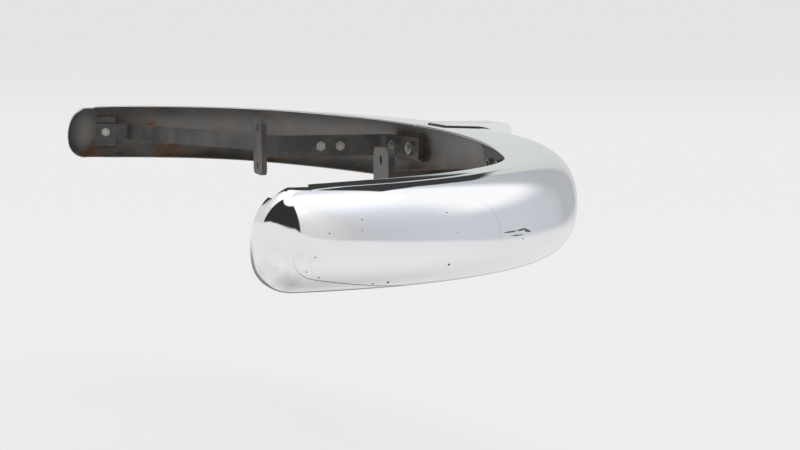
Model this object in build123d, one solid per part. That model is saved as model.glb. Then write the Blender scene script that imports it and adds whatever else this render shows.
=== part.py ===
from build123d import *
from collections import namedtuple
import math
import os

os.makedirs("parts", exist_ok=True)

# Front bumper of a 1950s car, with its centre cover, irons and outer stays.
# Millimetres. +X is the direction of travel, +Y the car's left, +Z up.
# Origin: middle of the four chassis bolts, on the rear face of the iron flanges.

# Plan of the bar, along the fullest line of its face
half_width = 885.0
front_x = 260.0
front_radius = 1548.0
corner_radius = 348.0
side_taper = 3.0
side_run = 11.0
nose_radius = 30.0
return_run = 12.0
curl_top = 34.0

# Pressed section of the bar
wall = 2.0
top_z = 45.0
bottom_z = -44.0
crown_z = -7.0
face_radius = 73.5
top_roll = 43.5
bottom_roll = 28.5
shelf_slope = 2.2
lip_depth = 42.0

# The body's outline in plan, its gap included, which the shelf is cut to
shelf_front = 118.0
shelf_side = 26.0
body_front_radius = 2295.0
body_corner_radius = 360.0
body_taper = 6.0

# Joint of the two halves at the centre, a plate behind it and a squared cover on it
joint_gap = 1.0
cover_width = 72.0
cover_wall = 2.0
cover_lift = 5.5
cover_reach = 88.0
cover_corner = 10.0
beading = 1.5
plate_thick = 3.0
plate_width = 96.0
plate_reach = 60.0
spot_face = 0.3
press_gap = 0.5
stud_d = 8.0
stud_spread = 36.0

# Irons to the chassis, and the packings between them and the bar
frame_spacing_y = 720.0
frame_spacing_z = 56.0
frame_hole = 11.0
iron_height = 32.0
iron_thick = 8.0
iron_bend = 16.0
foot_length = 92.0
packing_depth = 12.0
packing_length = 84.0
packing_height = 40.0
flange_width = 64.0
flange_height = 82.0
flange_corner = 10.0

# Outer stays, each from an iron to a cleat in the bar's end
stay_height = 26.0
stay_thick = 5.0
stay_foot = 60.0
stay_bend = 14.0
stay_x = 110.0
cleat_back = 30.0
cleat_thick = 3.0
cleat_height = 50.0
cleat_length = 34.0
cleat_depth = 28.0
buffer_d = 28.0
buffer_h = 4.0

# Bolts, nuts and studs
bolt_clear = 0.5
seat_gap = 0.02
thread_show = 3.0
bar_bolt_d = 10.0
bar_bolt_spread = 56.0
dome_d = 26.0
dome_h = 6.0
bar_nut_af = 17.0
bar_nut_h = 8.0
stay_bolt_d = 8.0
stay_bolt_spread = 30.0
small_af = 13.0
small_h = 5.5


def rad(a):
    return math.radians(a)


def outward(angle):
    """Outward normal of a plan curve where it has turned by this angle, right-hand side (-Y)."""
    return Vector(math.cos(rad(angle)), -math.sin(rad(angle)), 0)


def along(angle):
    """Direction of a plan curve, from the middle of the car to its right-hand side."""
    return Vector(-math.sin(rad(angle)), -math.cos(rad(angle)), 0)


def at(centre, radius, angle):
    """Point this far from the centre of a plan arc, where the curve has turned by this angle."""
    return centre + outward(angle) * radius


Plan = namedtuple("Plan", "front front_radius corner corner_radius turn end side")


def plan_curve(width, nose_x, front_r, corner_r, taper):
    """Front arc and corner arc of half a plan outline, tangent to each other."""
    turn_at = math.degrees(math.asin((width - corner_r * math.cos(rad(taper))) / (front_r - corner_r)))
    front = Vector(nose_x - front_r, 0, 0)
    corner = at(front, front_r - corner_r, turn_at)
    end = 90.0 - taper
    return Plan(front, front_r, corner, corner_r, turn_at, end, at(corner, corner_r, end))


bar = plan_curve(half_width, front_x, front_radius, corner_radius, side_taper)
body = plan_curve(half_width - shelf_side, front_x - shelf_front,
                  body_front_radius, body_corner_radius, body_taper)
side_end = bar.side + along(bar.end) * side_run
nose_centre = side_end - outward(bar.end) * nose_radius


def bow(length):
    """How far the front arc falls away from a straight piece of this length."""
    return front_radius - math.sqrt(front_radius ** 2 - (length / 2) ** 2)


# Straight pieces behind the bar bear on it at their ends
plate_gap = bow(plate_width) + press_gap
packing_gap = bow(packing_length) + press_gap
plate_rear = wall + plate_gap + plate_thick
nut_seat = plate_rear - spot_face

# Where the irons and the cleats meet the bar
foot_depth = wall + packing_depth
iron_y = -frame_spacing_y / 2
foot_reach = front_radius * math.asin(-iron_y / front_radius) - iron_bend - foot_length / 2
foot_angle = math.degrees(foot_reach / front_radius)
cleat_angle = bar.end - math.degrees(cleat_back / corner_radius)
stay_y = iron_y - (iron_thick + stay_thick) / 2

# Angles at which the crown arc meets the two rolls
top_blend = math.asin((top_z - crown_z - top_roll * math.cos(rad(shelf_slope))) / (face_radius - top_roll))
low_blend = math.asin((crown_z - bottom_z - bottom_roll) / (face_radius - bottom_roll))


def polar(centre, radius, angle):
    """Point of the section, as its depth inward from the face and its height."""
    return (centre[0] - radius * math.cos(angle), centre[1] + radius * math.sin(angle))


def skin(offset, top_depth, low_depth):
    """Ends and middles of the section's outline at this offset from the outer skin,
    from the shelf's inner edge round the face to the lip."""
    crown = (face_radius, crown_z)
    top_centre = polar(crown, face_radius - top_roll, top_blend)
    low_centre = polar(crown, face_radius - bottom_roll, -low_blend)
    shelf_end = math.pi / 2 - rad(shelf_slope)
    roll_top = polar(top_centre, top_roll + offset, shelf_end)
    edge_z = roll_top[1] + (top_depth - roll_top[0]) * math.tan(rad(shelf_slope))
    return {
        "shelf": (top_depth, edge_z),
        "roll_top": roll_top,
        "top_mid": polar(top_centre, top_roll + offset, (shelf_end + top_blend) / 2),
        "crown_top": polar(crown, face_radius + offset, top_blend),
        "crown_mid": polar(crown, face_radius + offset, (top_blend - low_blend) / 2),
        "crown_low": polar(crown, face_radius + offset, -low_blend),
        "low_mid": polar(low_centre, bottom_roll + offset, -(math.pi / 2 + low_blend) / 2),
        "roll_low": polar(low_centre, bottom_roll + offset, -math.pi / 2),
        "lip": (low_depth, bottom_z - offset),
    }


def chain(p, place):
    """Edges of one outline, from the shelf to the lip."""
    def v(name):
        return place(p[name])
    return [
        Line(v("shelf"), v("roll_top")),
        ThreePointArc(v("roll_top"), v("top_mid"), v("crown_top")),
        ThreePointArc(v("crown_top"), v("crown_mid"), v("crown_low")),
        ThreePointArc(v("crown_low"), v("low_mid"), v("roll_low")),
        Line(v("roll_low"), v("lip")),
    ]


def band(radius, outer, inner, top_depth, low_depth):
    """Channel section between two offsets, its fullest point at this radius from Z."""
    def place(q):
        return (radius - q[0], 0, q[1])
    a = skin(outer, top_depth, low_depth)
    b = skin(inner, top_depth, low_depth)
    edges = chain(a, place) + chain(b, place)
    edges += [Line(place(a["shelf"]), place(b["shelf"])), Line(place(a["lip"]), place(b["lip"]))]
    return make_face(edges)


def filled(radius, offset, depth):
    """Solid section out to this offset, closed by a plane at this depth."""
    def place(q):
        return (radius - q[0], 0, q[1])
    a = skin(offset, depth, depth)
    return make_face(chain(a, place) + [Line(place(a["shelf"]), place(a["lip"]))])


def upright(radius, near, far, height):
    """Rectangle of the section between two depths, centred on the origin's height."""
    return Plane.XZ * Pos(radius - (near + far) / 2, 0) * Rectangle(far - near, height)


def turn(face, centre, first, last):
    """Revolve a section about a vertical line, between two angles of the plan curve."""
    swept = revolve(face, axis=Axis.Z, revolution_arc=last - first)
    return Pos(centre.X, centre.Y, 0) * (Rot(0, 0, -last) * swept)


def run(face, start, angle, length):
    """Extrude a section, drawn at radius zero, along the plan curve."""
    here = Pos(start.X, start.Y, 0) * Rot(0, 0, -angle)
    return extrude(here * face, amount=length, dir=along(angle))


def front_run(face, first, last):
    """Sweep a section along the front arc, between two distances from the centre of the car."""
    return turn(face, bar.front, math.degrees(first / front_radius), math.degrees(last / front_radius))


def straight(face, length):
    """Extrude a section to both sides of its plane."""
    return extrude(face, amount=length / 2, both=True)


def mirrored(solid):
    return mirror(solid, about=Plane.XZ)


def front_place(reach, depth, z):
    """Location on the front arc, this far along it, deep and high, with X outward."""
    angle = math.degrees(reach / front_radius)
    p = at(bar.front, front_radius - depth, angle)
    return Pos(p.X, p.Y, z) * Rot(0, 0, -angle)


def neck(across, length):
    """Square bar along X, from the origin inward."""
    return Box(length, across, across, align=(Align.MAX, Align.CENTER, Align.CENTER))


def rod(diameter, length):
    """Round bar along X, from the origin inward."""
    return Rot(0, -90, 0) * Cylinder(diameter / 2, length, align=(Align.CENTER, Align.CENTER, Align.MIN))


def hexagon(across, height):
    """Hexagon prism along X, from the origin inward."""
    return Rot(0, -90, 0) * extrude(RegularPolygon(across / 2, 6, major_radius=False), amount=height)


def shelf_cutter():
    """Prism of the body's outline, down through the shelf to the top of the curled-in end."""
    nose = at(body.front, body_front_radius, 0)
    tangent = at(body.corner, body_corner_radius, body.turn)
    far = body.side + along(body.end) * nose_radius * 2
    rear = Vector(far.X, 0, 0)
    half = make_face([
        ThreePointArc(nose, at(body.front, body_front_radius, body.turn / 2), tangent),
        ThreePointArc(tangent, at(body.corner, body_corner_radius, (body.turn + body.end) / 2), body.side),
        Line(body.side, far),
        Line(far, rear),
        Line(rear, nose),
    ])
    return Pos(0, 0, curl_top) * extrude(half, amount=top_z)


def bar_half():
    """Right-hand half of the bar, pressed in one piece with its closed, curled-in end."""
    stock = shelf_front + wall
    half_gap = math.degrees(joint_gap / 2 / front_radius)
    press = turn(band(front_radius, 0, -wall, stock, lip_depth), bar.front, half_gap, bar.turn)
    press += turn(band(corner_radius, 0, -wall, stock, lip_depth), bar.corner, bar.turn, bar.end)
    press += run(band(0, 0, -wall, stock, lip_depth), bar.side, bar.end, side_run)
    end_face = band(0, 0, -wall, stock, lip_depth) & upright(0, 0, nose_radius, top_z * 4)
    press += turn(Pos(nose_radius, 0, 0) * end_face, nose_centre, bar.end, bar.end + 90)
    press += run(end_face, at(nose_centre, nose_radius, bar.end + 90), bar.end + 90, return_run)
    press -= shelf_cutter()
    press -= stud_place(1, 0) * rod(stud_d + bolt_clear, plate_reach)
    for spot in foot_spots(0):
        press -= spot * neck(bar_bolt_d + bolt_clear, plate_reach)
    return press


def stud_place(side, depth):
    """Location of a cover stud, on the crown line and one side of the joint."""
    return Pos(front_x - depth, -side * stud_spread / 2, crown_z)


def foot_spots(depth):
    """Locations of the two bar bolts of the right-hand iron's foot."""
    foot = front_place(foot_reach, depth, 0)
    return [foot * Pos(0, y, 0) for y in (-bar_bolt_spread / 2, bar_bolt_spread / 2)]


def cover_block(inset):
    """Squared body of the cover, this far inside its skin, with its front edges rounded."""
    front = front_x + beading + cover_wall + seat_gap - inset
    rear = front_x - cover_reach + inset
    low = bottom_z - beading - cover_wall - seat_gap + inset
    high = top_z + cover_lift - inset
    middle = Pos((front + rear) / 2, 0, (low + high) / 2)
    block = middle * Box(front - rear, cover_width - 2 * inset, high - low)
    return fillet(block.edges().filter_by(Axis.Y).sort_by(Axis.X)[-2:], cover_corner - inset)


def cover():
    """Pressed cover over the centre joint, with side walls to the beading and two welded studs."""
    shell = cover_block(0) - cover_block(cover_wall)
    shell -= straight(filled(front_x, beading + seat_gap, cover_reach + cover_wall), cover_width * 2)
    shell -= Pos(front_x - lip_depth, 0, bottom_z) * neck(cover_width * 2, cover_reach)
    start = -(beading + cover_wall / 2)
    for side in (-1, 1):
        shell += stud_place(side, start) * rod(stud_d, nut_seat + small_h + thread_show - start)
    return shell


def cover_beading():
    """Rubber strip between the cover and the bar."""
    section = band(front_x, beading, seat_gap, cover_reach + beading, lip_depth)
    strip = straight(section, cover_width + 2 * beading)
    for side in (-1, 1):
        strip -= stud_place(side, -cover_lift) * rod(stud_d + bolt_clear, plate_reach)
    return strip


def joint_plate():
    """Plate behind the joint, pressed to the section of the bar, with flat seats for the nuts."""
    section = band(front_x, -wall - plate_gap, -plate_rear, plate_reach, lip_depth)
    plate = straight(section, plate_width)
    for side in (-1, 1):
        plate -= stud_place(side, 0) * rod(stud_d + bolt_clear, plate_reach)
        plate -= stud_place(side, nut_seat) * rod(small_af * 1.2, plate_reach / 2)
    return plate


def cover_nuts():
    nuts = []
    for side in (-1, 1):
        nut = stud_place(side, nut_seat + seat_gap) * hexagon(small_af, small_h)
        nuts.append(nut - stud_place(side, 0) * rod(stud_d, plate_reach))
    return Part() + nuts


def packing():
    """Cast packing between the bar and the iron's foot, flat behind."""
    block = front_place(foot_reach, foot_depth, 0) * Box(
        packing_depth * 2, packing_length, packing_height, align=(Align.MIN, Align.CENTER, Align.CENTER))
    section = filled(0, -wall - packing_gap, plate_reach)
    block &= front_place(foot_reach, 0, 0) * straight(section, packing_length)
    for spot in foot_spots(0):
        block -= spot * rod(bar_bolt_d + bolt_clear, plate_reach)
    return block


def strap(points, thick, height, bend):
    """Flat bar on edge, bent in plan through these points."""
    path = FilletPolyline(*points, radius=bend)
    begin = Plane(origin=path @ 0, x_dir=(0, 0, 1), z_dir=path % 0)
    return sweep(begin * Rectangle(height, thick), path=path)


def iron():
    """Flat iron bar, bent to a foot in front and welded to a bolted flange."""
    foot = at(bar.front, front_radius - foot_depth - iron_thick / 2, foot_angle)
    slant = along(foot_angle)
    corner = foot + slant * ((iron_y - foot.Y) / slant.Y)
    tip = foot - slant * (foot_length / 2)
    arm = strap([(0, iron_y, 0), corner, tip], iron_thick, iron_height, iron_bend)
    flange = Pos(iron_thick / 2, iron_y, 0) * Box(iron_thick, flange_width, flange_height)
    flange = fillet(flange.edges().filter_by(Axis.X), flange_corner)
    for z in (-frame_spacing_z / 2, frame_spacing_z / 2):
        flange -= Pos(0, iron_y, z) * Rot(0, 90, 0) * Cylinder(frame_hole / 2, flange_width)
    solid = arm + flange
    for spot in foot_spots(0):
        solid -= spot * rod(bar_bolt_d + bolt_clear, plate_reach)
    for spot in stay_spots(0):
        solid -= spot * rod(stay_bolt_d + bolt_clear, stay_foot)
    return solid


def stay_spots(inset):
    """Locations of the two stay bolts on the iron's arm, with X outward from the stay's outer face."""
    y = stay_y - stay_thick / 2 + inset
    return [Pos(stay_x + x, y, 0) * Rot(0, 0, -90) for x in (-stay_bolt_spread / 2, stay_bolt_spread / 2)]


def cleat_place(depth):
    """Location at the cleat, this deep behind the face, with X outward."""
    p = at(bar.corner, corner_radius - depth, cleat_angle)
    return Pos(p.X, p.Y, 0) * Rot(0, 0, -cleat_angle)


def cleat_hole():
    return cleat_place(wall * 2) * rod(stay_bolt_d + bolt_clear, cleat_depth * 2)


def cleat():
    """Hat-shaped bracket welded inside the bar's end, with the hole of the stay's bolt."""
    hat = Rectangle(cleat_depth, cleat_height) - Pos(cleat_thick, 0) * Rectangle(
        cleat_depth, cleat_height - 2 * cleat_thick)
    solid = cleat_place(cleat_depth / 2) * Rot(90, 0, 0) * extrude(hat, amount=cleat_length / 2, both=True)
    solid &= turn(filled(corner_radius, -wall, plate_reach), bar.corner, bar.turn, bar.end)
    return solid - cleat_hole()


def buffer():
    """Rubber washer between the cleat and the stay."""
    return cleat_place(cleat_depth) * rod(buffer_d, buffer_h) - cleat_hole()


def stay():
    """Flat strap from the iron's arm out to the cleat in the bar's end."""
    end = at(bar.corner, corner_radius - cleat_depth - buffer_h - stay_thick / 2, cleat_angle)
    rearward = along(cleat_angle)
    solid = strap([
        (stay_x + stay_foot / 2, stay_y, 0),
        (stay_x - stay_foot * 0.6, stay_y, 0),
        end - rearward * (stay_foot * 0.6),
        end + rearward * (stay_foot * 0.3),
    ], stay_thick, stay_height, stay_bend)
    for spot in stay_spots(0):
        solid -= spot * rod(stay_bolt_d + bolt_clear, stay_foot)
    return solid - cleat_hole()


def bolt(place, diameter, grip, across, height):
    """Hexagon bolt and its nut in one, from the location's origin inward."""
    head = place * Pos(height + seat_gap, 0, 0) * hexagon(across, height)
    shank = place * Pos(height / 2, 0, 0) * rod(diameter, grip + height * 1.5 + seat_gap + thread_show)
    nut = place * Pos(-grip - seat_gap, 0, 0) * hexagon(across, height)
    return head + shank + nut


def dome():
    """Round head of a bar bolt, with a skirt that is cut to the face of the bar."""
    ball = (dome_h ** 2 + (dome_d / 2) ** 2) / (2 * dome_h)
    skirt = Pos(dome_h, 0, 0) * rod(dome_d, 2 * dome_h)
    return skirt & Pos(dome_h - ball, 0, 0) * Sphere(ball)


def bar_bolts():
    """Dome-headed bolts with square necks, through the bar, the packings and the irons' feet."""
    inside = foot_depth + iron_thick
    face = front_run(filled(front_radius, seat_gap, plate_reach), foot_reach - foot_length, foot_reach + foot_length)
    bolts = []
    for spot in foot_spots(0):
        solid = spot * dome() - face
        solid += spot * neck(bar_bolt_d, wall + packing_gap)
        solid += spot * rod(bar_bolt_d, inside + bar_nut_h + thread_show)
        solid += spot * Pos(-inside - seat_gap, 0, 0) * hexagon(bar_nut_af, bar_nut_h)
        bolts += [solid, mirrored(solid)]
    return Part() + bolts


def stay_bolts():
    """Bolts of the two stays: two through each iron's arm and one through each cleat."""
    bolts = []
    for spot in stay_spots(0):
        bolts.append(bolt(spot, stay_bolt_d, stay_thick + iron_thick, small_af, small_h))
    grip = cleat_thick + buffer_h + stay_thick
    bolts.append(bolt(cleat_place(cleat_depth - cleat_thick), stay_bolt_d, grip, small_af, small_h))
    return Part() + bolts + [mirrored(b) for b in bolts]


nodes = {
    "centre_cover": cover(),
    "cover_beading": cover_beading(),
    "joint_plate": joint_plate(),
    "cover_nuts": cover_nuts(),
    "bar_bolts": bar_bolts(),
    "stay_bolts": stay_bolts(),
}
right = {
    "bar": bar_half(),
    "packing": packing(),
    "iron": iron(),
    "cleat": cleat(),
    "buffer": buffer(),
    "stay": stay(),
}
for name, solid in right.items():
    nodes[name + "_right"] = solid
    nodes[name + "_left"] = mirrored(solid)

for name, solid in nodes.items():
    export_step(solid, "parts/" + name + ".step")
    print(name, round(solid.volume), len(solid.solids()), solid.is_valid)
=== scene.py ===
import bpy
import math
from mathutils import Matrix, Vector


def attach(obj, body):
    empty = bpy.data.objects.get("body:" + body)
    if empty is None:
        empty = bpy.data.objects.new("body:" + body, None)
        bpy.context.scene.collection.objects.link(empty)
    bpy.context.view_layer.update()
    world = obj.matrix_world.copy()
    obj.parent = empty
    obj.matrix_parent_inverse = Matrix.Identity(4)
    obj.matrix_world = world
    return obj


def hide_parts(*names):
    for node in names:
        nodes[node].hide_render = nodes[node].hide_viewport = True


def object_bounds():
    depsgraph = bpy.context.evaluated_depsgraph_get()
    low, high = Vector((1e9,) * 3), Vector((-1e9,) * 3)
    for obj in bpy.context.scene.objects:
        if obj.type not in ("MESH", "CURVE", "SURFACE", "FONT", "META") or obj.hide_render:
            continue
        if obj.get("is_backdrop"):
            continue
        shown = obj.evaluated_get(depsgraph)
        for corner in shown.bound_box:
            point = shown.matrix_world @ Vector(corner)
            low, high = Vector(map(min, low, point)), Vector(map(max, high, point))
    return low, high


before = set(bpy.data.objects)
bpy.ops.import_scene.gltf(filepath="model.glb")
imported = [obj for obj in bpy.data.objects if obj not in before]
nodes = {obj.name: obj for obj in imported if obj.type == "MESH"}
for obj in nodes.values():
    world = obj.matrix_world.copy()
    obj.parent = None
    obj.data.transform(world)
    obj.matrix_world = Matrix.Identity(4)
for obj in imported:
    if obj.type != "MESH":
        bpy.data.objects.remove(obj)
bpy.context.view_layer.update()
scene = bpy.context.scene

# Bar. Two halves pressed from sheet steel, polished and chromium plated outside, with closed,
# curled-in ends and a shelf on top with a shorter curve behind. The inside is bare and dusty.
wall = 0.002
half_width = 0.885
front_x = 0.260
front_radius = 1.548
corner_radius = 0.348
side_taper = math.radians(3.0)
side_run = 0.011
nose_radius = 0.030
return_run = 0.012
curl_top = 0.034
top_z = 0.045
bottom_z = -0.044
crown_z = -0.007
face_radius = 0.0735
top_roll = 0.0435
bottom_roll = 0.0285
shelf_slope = math.radians(2.2)
lip_depth = 0.042
shelf_stock = 0.120
joint_gap = 0.001
rear_line_width = 0.859
rear_line_x = 0.142
rear_line_front_radius = 2.295
rear_line_corner_radius = 0.360
rear_line_taper = math.radians(6.0)


def outward(turn):
    """Outward normal of a plan curve where it has turned by this angle."""
    return Vector((math.cos(turn), -math.sin(turn), 0.0))


def along(turn):
    """Direction of a plan curve, from the middle of the bumper to its right-hand end."""
    return Vector((-math.sin(turn), -math.cos(turn), 0.0))


def plan_curve(width, nose_x, front_r, corner_r, taper):
    """Centres of the front arc and the corner arc, and the angles where each ends."""
    turn = math.asin((width - corner_r * math.cos(taper)) / (front_r - corner_r))
    front = Vector((nose_x - front_r, 0.0, 0.0))
    return front, front + outward(turn) * (front_r - corner_r), turn, math.pi / 2 - taper


bar_front, bar_corner, bar_turn, bar_side = plan_curve(
    half_width, front_x, front_radius, corner_radius, side_taper)
rear_line_front, rear_line_corner, rear_line_turn, rear_line_side = plan_curve(
    rear_line_width, rear_line_x, rear_line_front_radius, rear_line_corner_radius, rear_line_taper)
nose_turn = bar_side + math.pi / 2
rear_line_tangent = rear_line_corner + outward(rear_line_side) * rear_line_corner_radius
top_blend = math.asin((top_z - crown_z - top_roll * math.cos(shelf_slope)) / (face_radius - top_roll))
low_blend = math.asin((crown_z - bottom_z - bottom_roll) / (face_radius - bottom_roll))
roll_length = top_roll * (math.pi / 2 - shelf_slope - top_blend)


def past_rear_line(point):
    """How far a point is behind the shelf's rear line."""
    if point.x < rear_line_tangent.x:
        return (rear_line_tangent - point).dot(outward(rear_line_side))
    arm = point - rear_line_front
    if math.atan2(-arm.y, arm.x) < rear_line_turn:
        return rear_line_front_radius - arm.length
    return rear_line_corner_radius - (point - rear_line_corner).length


def polar(centre, radius, angle):
    """Depth inward from the face and height of a point of the section."""
    return (centre[0] - radius * math.cos(angle), centre[1] + radius * math.sin(angle))


crown_centre = (face_radius, crown_z)
top_centre = polar(crown_centre, face_radius - top_roll, top_blend)
low_centre = polar(crown_centre, face_radius - bottom_roll, -low_blend)


def section_point(part, value, offset):
    """Point of one stretch of the section, this far outside the plated skin."""
    if part == "lip":
        return (value, bottom_z - offset)
    if part == "low":
        return polar(low_centre, bottom_roll + offset, value)
    if part == "crown":
        return polar(crown_centre, face_radius + offset, value)
    angle = top_blend + min(value, roll_length) / top_roll
    depth, z = polar(top_centre, top_roll + offset, angle)
    flat = max(0.0, value - roll_length)
    return (depth + flat * math.cos(shelf_slope), z + flat * math.sin(shelf_slope))


def shelf_end(origin, turn, reach):
    """Length of the section, up from the crown arc, at which the shelf's rear line cuts it."""
    def is_cut(value):
        depth, z = section_point("top", value, 0.0)
        return depth > reach or (z > curl_top and past_rear_line(origin - outward(turn) * depth) > 0)
    step = 0.002
    halvings = 12
    value = step
    while not is_cut(value):
        value += step
    low, high = value - step, value
    for _ in range(halvings):
        middle = (low + high) / 2
        low, high = (low, middle) if is_cut(middle) else (middle, high)
    return low


def spread(first, last, count):
    """This many even steps from the first value, without the last."""
    return [first + (last - first) * i / count for i in range(count)]


lip_steps = 4
roll_steps = 14
top_steps = 40
bend_steps = 6


def station_loop(origin, turn, reach, lip, thin):
    """Closed loop of the sheet's section at one place of the bar: outside, edge, inside, edge."""
    cut = shelf_end(origin, turn, reach)
    edge = wall / 2
    skin = [("lip", v) for v in spread(lip - edge, low_centre[0], lip_steps)]
    skin += [("low", v) for v in spread(-math.pi / 2, -low_blend, roll_steps)]
    skin += [("crown", v) for v in spread(-low_blend, top_blend, roll_steps)]
    skin += [("top", v) for v in spread(0.0, cut - edge, top_steps)]
    bend = [math.pi * k / bend_steps for k in range(bend_steps + 1)]
    top_edge = [("top", cut - edge + edge * math.sin(a), a) for a in bend]
    low_edge = [("lip", lip - edge + edge * math.sin(a), math.pi - a) for a in bend]
    loop = [(part, v, 0.0) for part, v in skin] + top_edge[1:-1]
    loop += [(part, v, math.pi) for part, v in reversed(skin)] + low_edge[1:-1]
    points = []
    for part, value, angle in loop:
        depth, z = section_point(part, value, -edge + edge * math.cos(angle) * thin)
        p = origin - outward(turn) * depth
        points.append((p.x, p.y, z))
    return points, len(skin) + bend_steps - 1


ease_gain = 0.0035
front_ease = 0.070
nose_ease = 0.017
ease_steps = 8
lip_run = 0.030
plan_runs = (
    # length, turn at its end
    (front_radius * bar_turn, bar_turn),
    (corner_radius * (bar_side - bar_turn), bar_side),
    (side_run - ease_gain, bar_side),
    (nose_radius * math.pi / 2, nose_turn),
    (return_run, nose_turn),
)
front_run = plan_runs[0][0]
corner_middle = front_run + plan_runs[1][0] / 2
nose_start = sum(length for length, last in plan_runs[:3])
total_run = sum(length for length, last in plan_runs)


def sharp_turn(run):
    """Turn of the bar's plan at this run from the middle, by its arcs alone."""
    turn = 0.0
    for length, last in plan_runs:
        if run < length:
            return turn + (last - turn) * run / length
        run -= length
        turn = last
    return turn


def eased_turn(run):
    """Turn with the joints of the arcs eased, as the press leaves them, so that reflections flow."""
    half = front_ease if run < corner_middle else nose_ease
    half = min(half, run, total_run - run)
    steps = range(-ease_steps, ease_steps + 1)
    shares = [ease_steps + 1 - abs(k) for k in steps]
    turns = [sharp_turn(run + half * k / ease_steps) for k in steps]
    return sum(share * turn for share, turn in zip(shares, turns)) / sum(shares)


front_steps = 90
corner_steps = 90
end_steps = 100
end_lead = 0.03
edge_steps = 4
longest_step = 0.0005
rounding_error = 1e-9


def bar_stations():
    """Places along the right-hand half, with its rounded cut ends: origin, turn, reach, lip, thinness."""
    edge = wall / 2
    start = joint_gap / 2
    last = total_run
    end_start = nose_start - end_lead
    round_edge = [math.pi / 2 * k / edge_steps for k in range(edge_steps + 1)]
    marks = [(start + edge * (1 - math.cos(a)), math.sin(a)) for a in round_edge[:-1]]
    marks += [(run, 1.0) for run in spread(start + edge, front_run, front_steps)]
    marks += [(run, 1.0) for run in spread(front_run, end_start, corner_steps)]
    marks += [(run, 1.0) for run in spread(end_start, last - edge, end_steps)]
    marks += [(last - edge + edge * math.sin(a), math.cos(a)) for a in round_edge]
    rows = []
    place = bar_front + outward(0.0) * front_radius
    run = 0.0
    for mark, thin in marks:
        while run < mark - rounding_error:
            step = min(longest_step, mark - run)
            place = place + along(eased_turn(run + step / 2)) * step
            run += step
        reach = shelf_stock if run < nose_start - nose_ease else nose_radius
        left = min(1.0, max(0.0, (nose_start - nose_ease - run) / lip_run))
        lip = nose_radius + (lip_depth - nose_radius) * left * left * (3 - 2 * left)
        rows.append((place.copy(), eased_turn(run), reach, lip, thin))
    return rows


def bar_mesh(name, side, loops, outer_count):
    """Mesh of one half of the bar; side is 1 for the right-hand half and -1 for the left-hand one."""
    size = len(loops[0])
    verts = [(x, y * side, z) for loop in loops for x, y, z in loop]
    faces = []
    for row in range(len(loops) - 1):
        for k in range(size):
            quad = [row * size + k, row * size + (k + 1) % size,
                    (row + 1) * size + (k + 1) % size, (row + 1) * size + k]
            faces.append(quad if side < 0 else quad[::-1])
    mesh = bpy.data.meshes.new(name)
    mesh.from_pydata(verts, [], faces)
    mesh.polygons.foreach_set("use_smooth", [True] * len(faces))
    skins = [0 if i % size < outer_count else 1 for i in range(len(faces))]
    mesh.polygons.foreach_set("material_index", skins)
    mesh.update()
    return mesh


def link(tree, source, target):
    """Join one output to one input."""
    tree.links.new(source, target)


def new_material(name):
    """Material with its Principled shader, ready to be joined up."""
    material = bpy.data.materials.new(name)
    material.use_nodes = True
    return material, material.node_tree, material.node_tree.nodes["Principled BSDF"]


def math_node(tree, kind, first, second=0.0):
    """Math node of two numbers or outputs, as its output."""
    node = tree.nodes.new("ShaderNodeMath")
    node.operation = kind
    for socket, value in zip(node.inputs, (first, second)):
        if isinstance(value, (int, float)):
            socket.default_value = value
        else:
            link(tree, value, socket)
    return node.outputs[0]


def smooth_step(tree, value, low, high):
    """Smooth rise from 0 to 1 between two values."""
    node = tree.nodes.new("ShaderNodeMapRange")
    node.interpolation_type = "SMOOTHSTEP"
    node.inputs["From Min"].default_value = low
    node.inputs["From Max"].default_value = high
    link(tree, value, node.inputs["Value"])
    return node.outputs["Result"]


def between(tree, value, low, high, soft):
    """One between two values, with a soft edge on each side."""
    rise = smooth_step(tree, value, low - soft, low + soft)
    fall = smooth_step(tree, value, high - soft, high + soft)
    return math_node(tree, "SUBTRACT", rise, fall)


def mix_value(tree, mask, first, second):
    """Blend of two numbers or outputs by a mask."""
    node = tree.nodes.new("ShaderNodeMix")
    link(tree, mask, node.inputs[0])
    for socket, value in ((node.inputs[2], first), (node.inputs[3], second)):
        if isinstance(value, (int, float)):
            socket.default_value = value
        else:
            link(tree, value, socket)
    return node.outputs[0]


def new_group(name, inputs, outputs):
    """Node group with named inputs and outputs, and its two end nodes."""
    group = bpy.data.node_groups.new(name, "ShaderNodeTree")
    for label, kind, value in inputs:
        socket = group.interface.new_socket(label, in_out="INPUT", socket_type=kind)
        socket.default_value = value
    for label, kind in outputs:
        group.interface.new_socket(label, in_out="OUTPUT", socket_type=kind)
    return group, group.nodes.new("NodeGroupInput"), group.nodes.new("NodeGroupOutput")


def use_group(tree, group, **values):
    """Place a group in a material with its own values."""
    node = tree.nodes.new("ShaderNodeGroup")
    node.node_tree = group
    for label, value in values.items():
        node.inputs[label.replace("_", " ")].default_value = value
    return node


def place_of(tree):
    """Place on the piece, in metres from the bumper's origin."""
    return tree.nodes.new("ShaderNodeNewGeometry").outputs["Position"]


def noise(tree, place, scale, detail=3.0, stretch=(1, 1, 1)):
    """Noise at this many waves a metre, as its value."""
    shape = tree.nodes.new("ShaderNodeMapping")
    shape.inputs["Scale"].default_value = stretch
    link(tree, place, shape.inputs["Vector"])
    node = tree.nodes.new("ShaderNodeTexNoise")
    node.inputs["Detail"].default_value = detail
    node.inputs["Scale"].default_value = scale
    link(tree, shape.outputs[0], node.inputs["Vector"])
    return node.outputs["Fac"]


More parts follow.
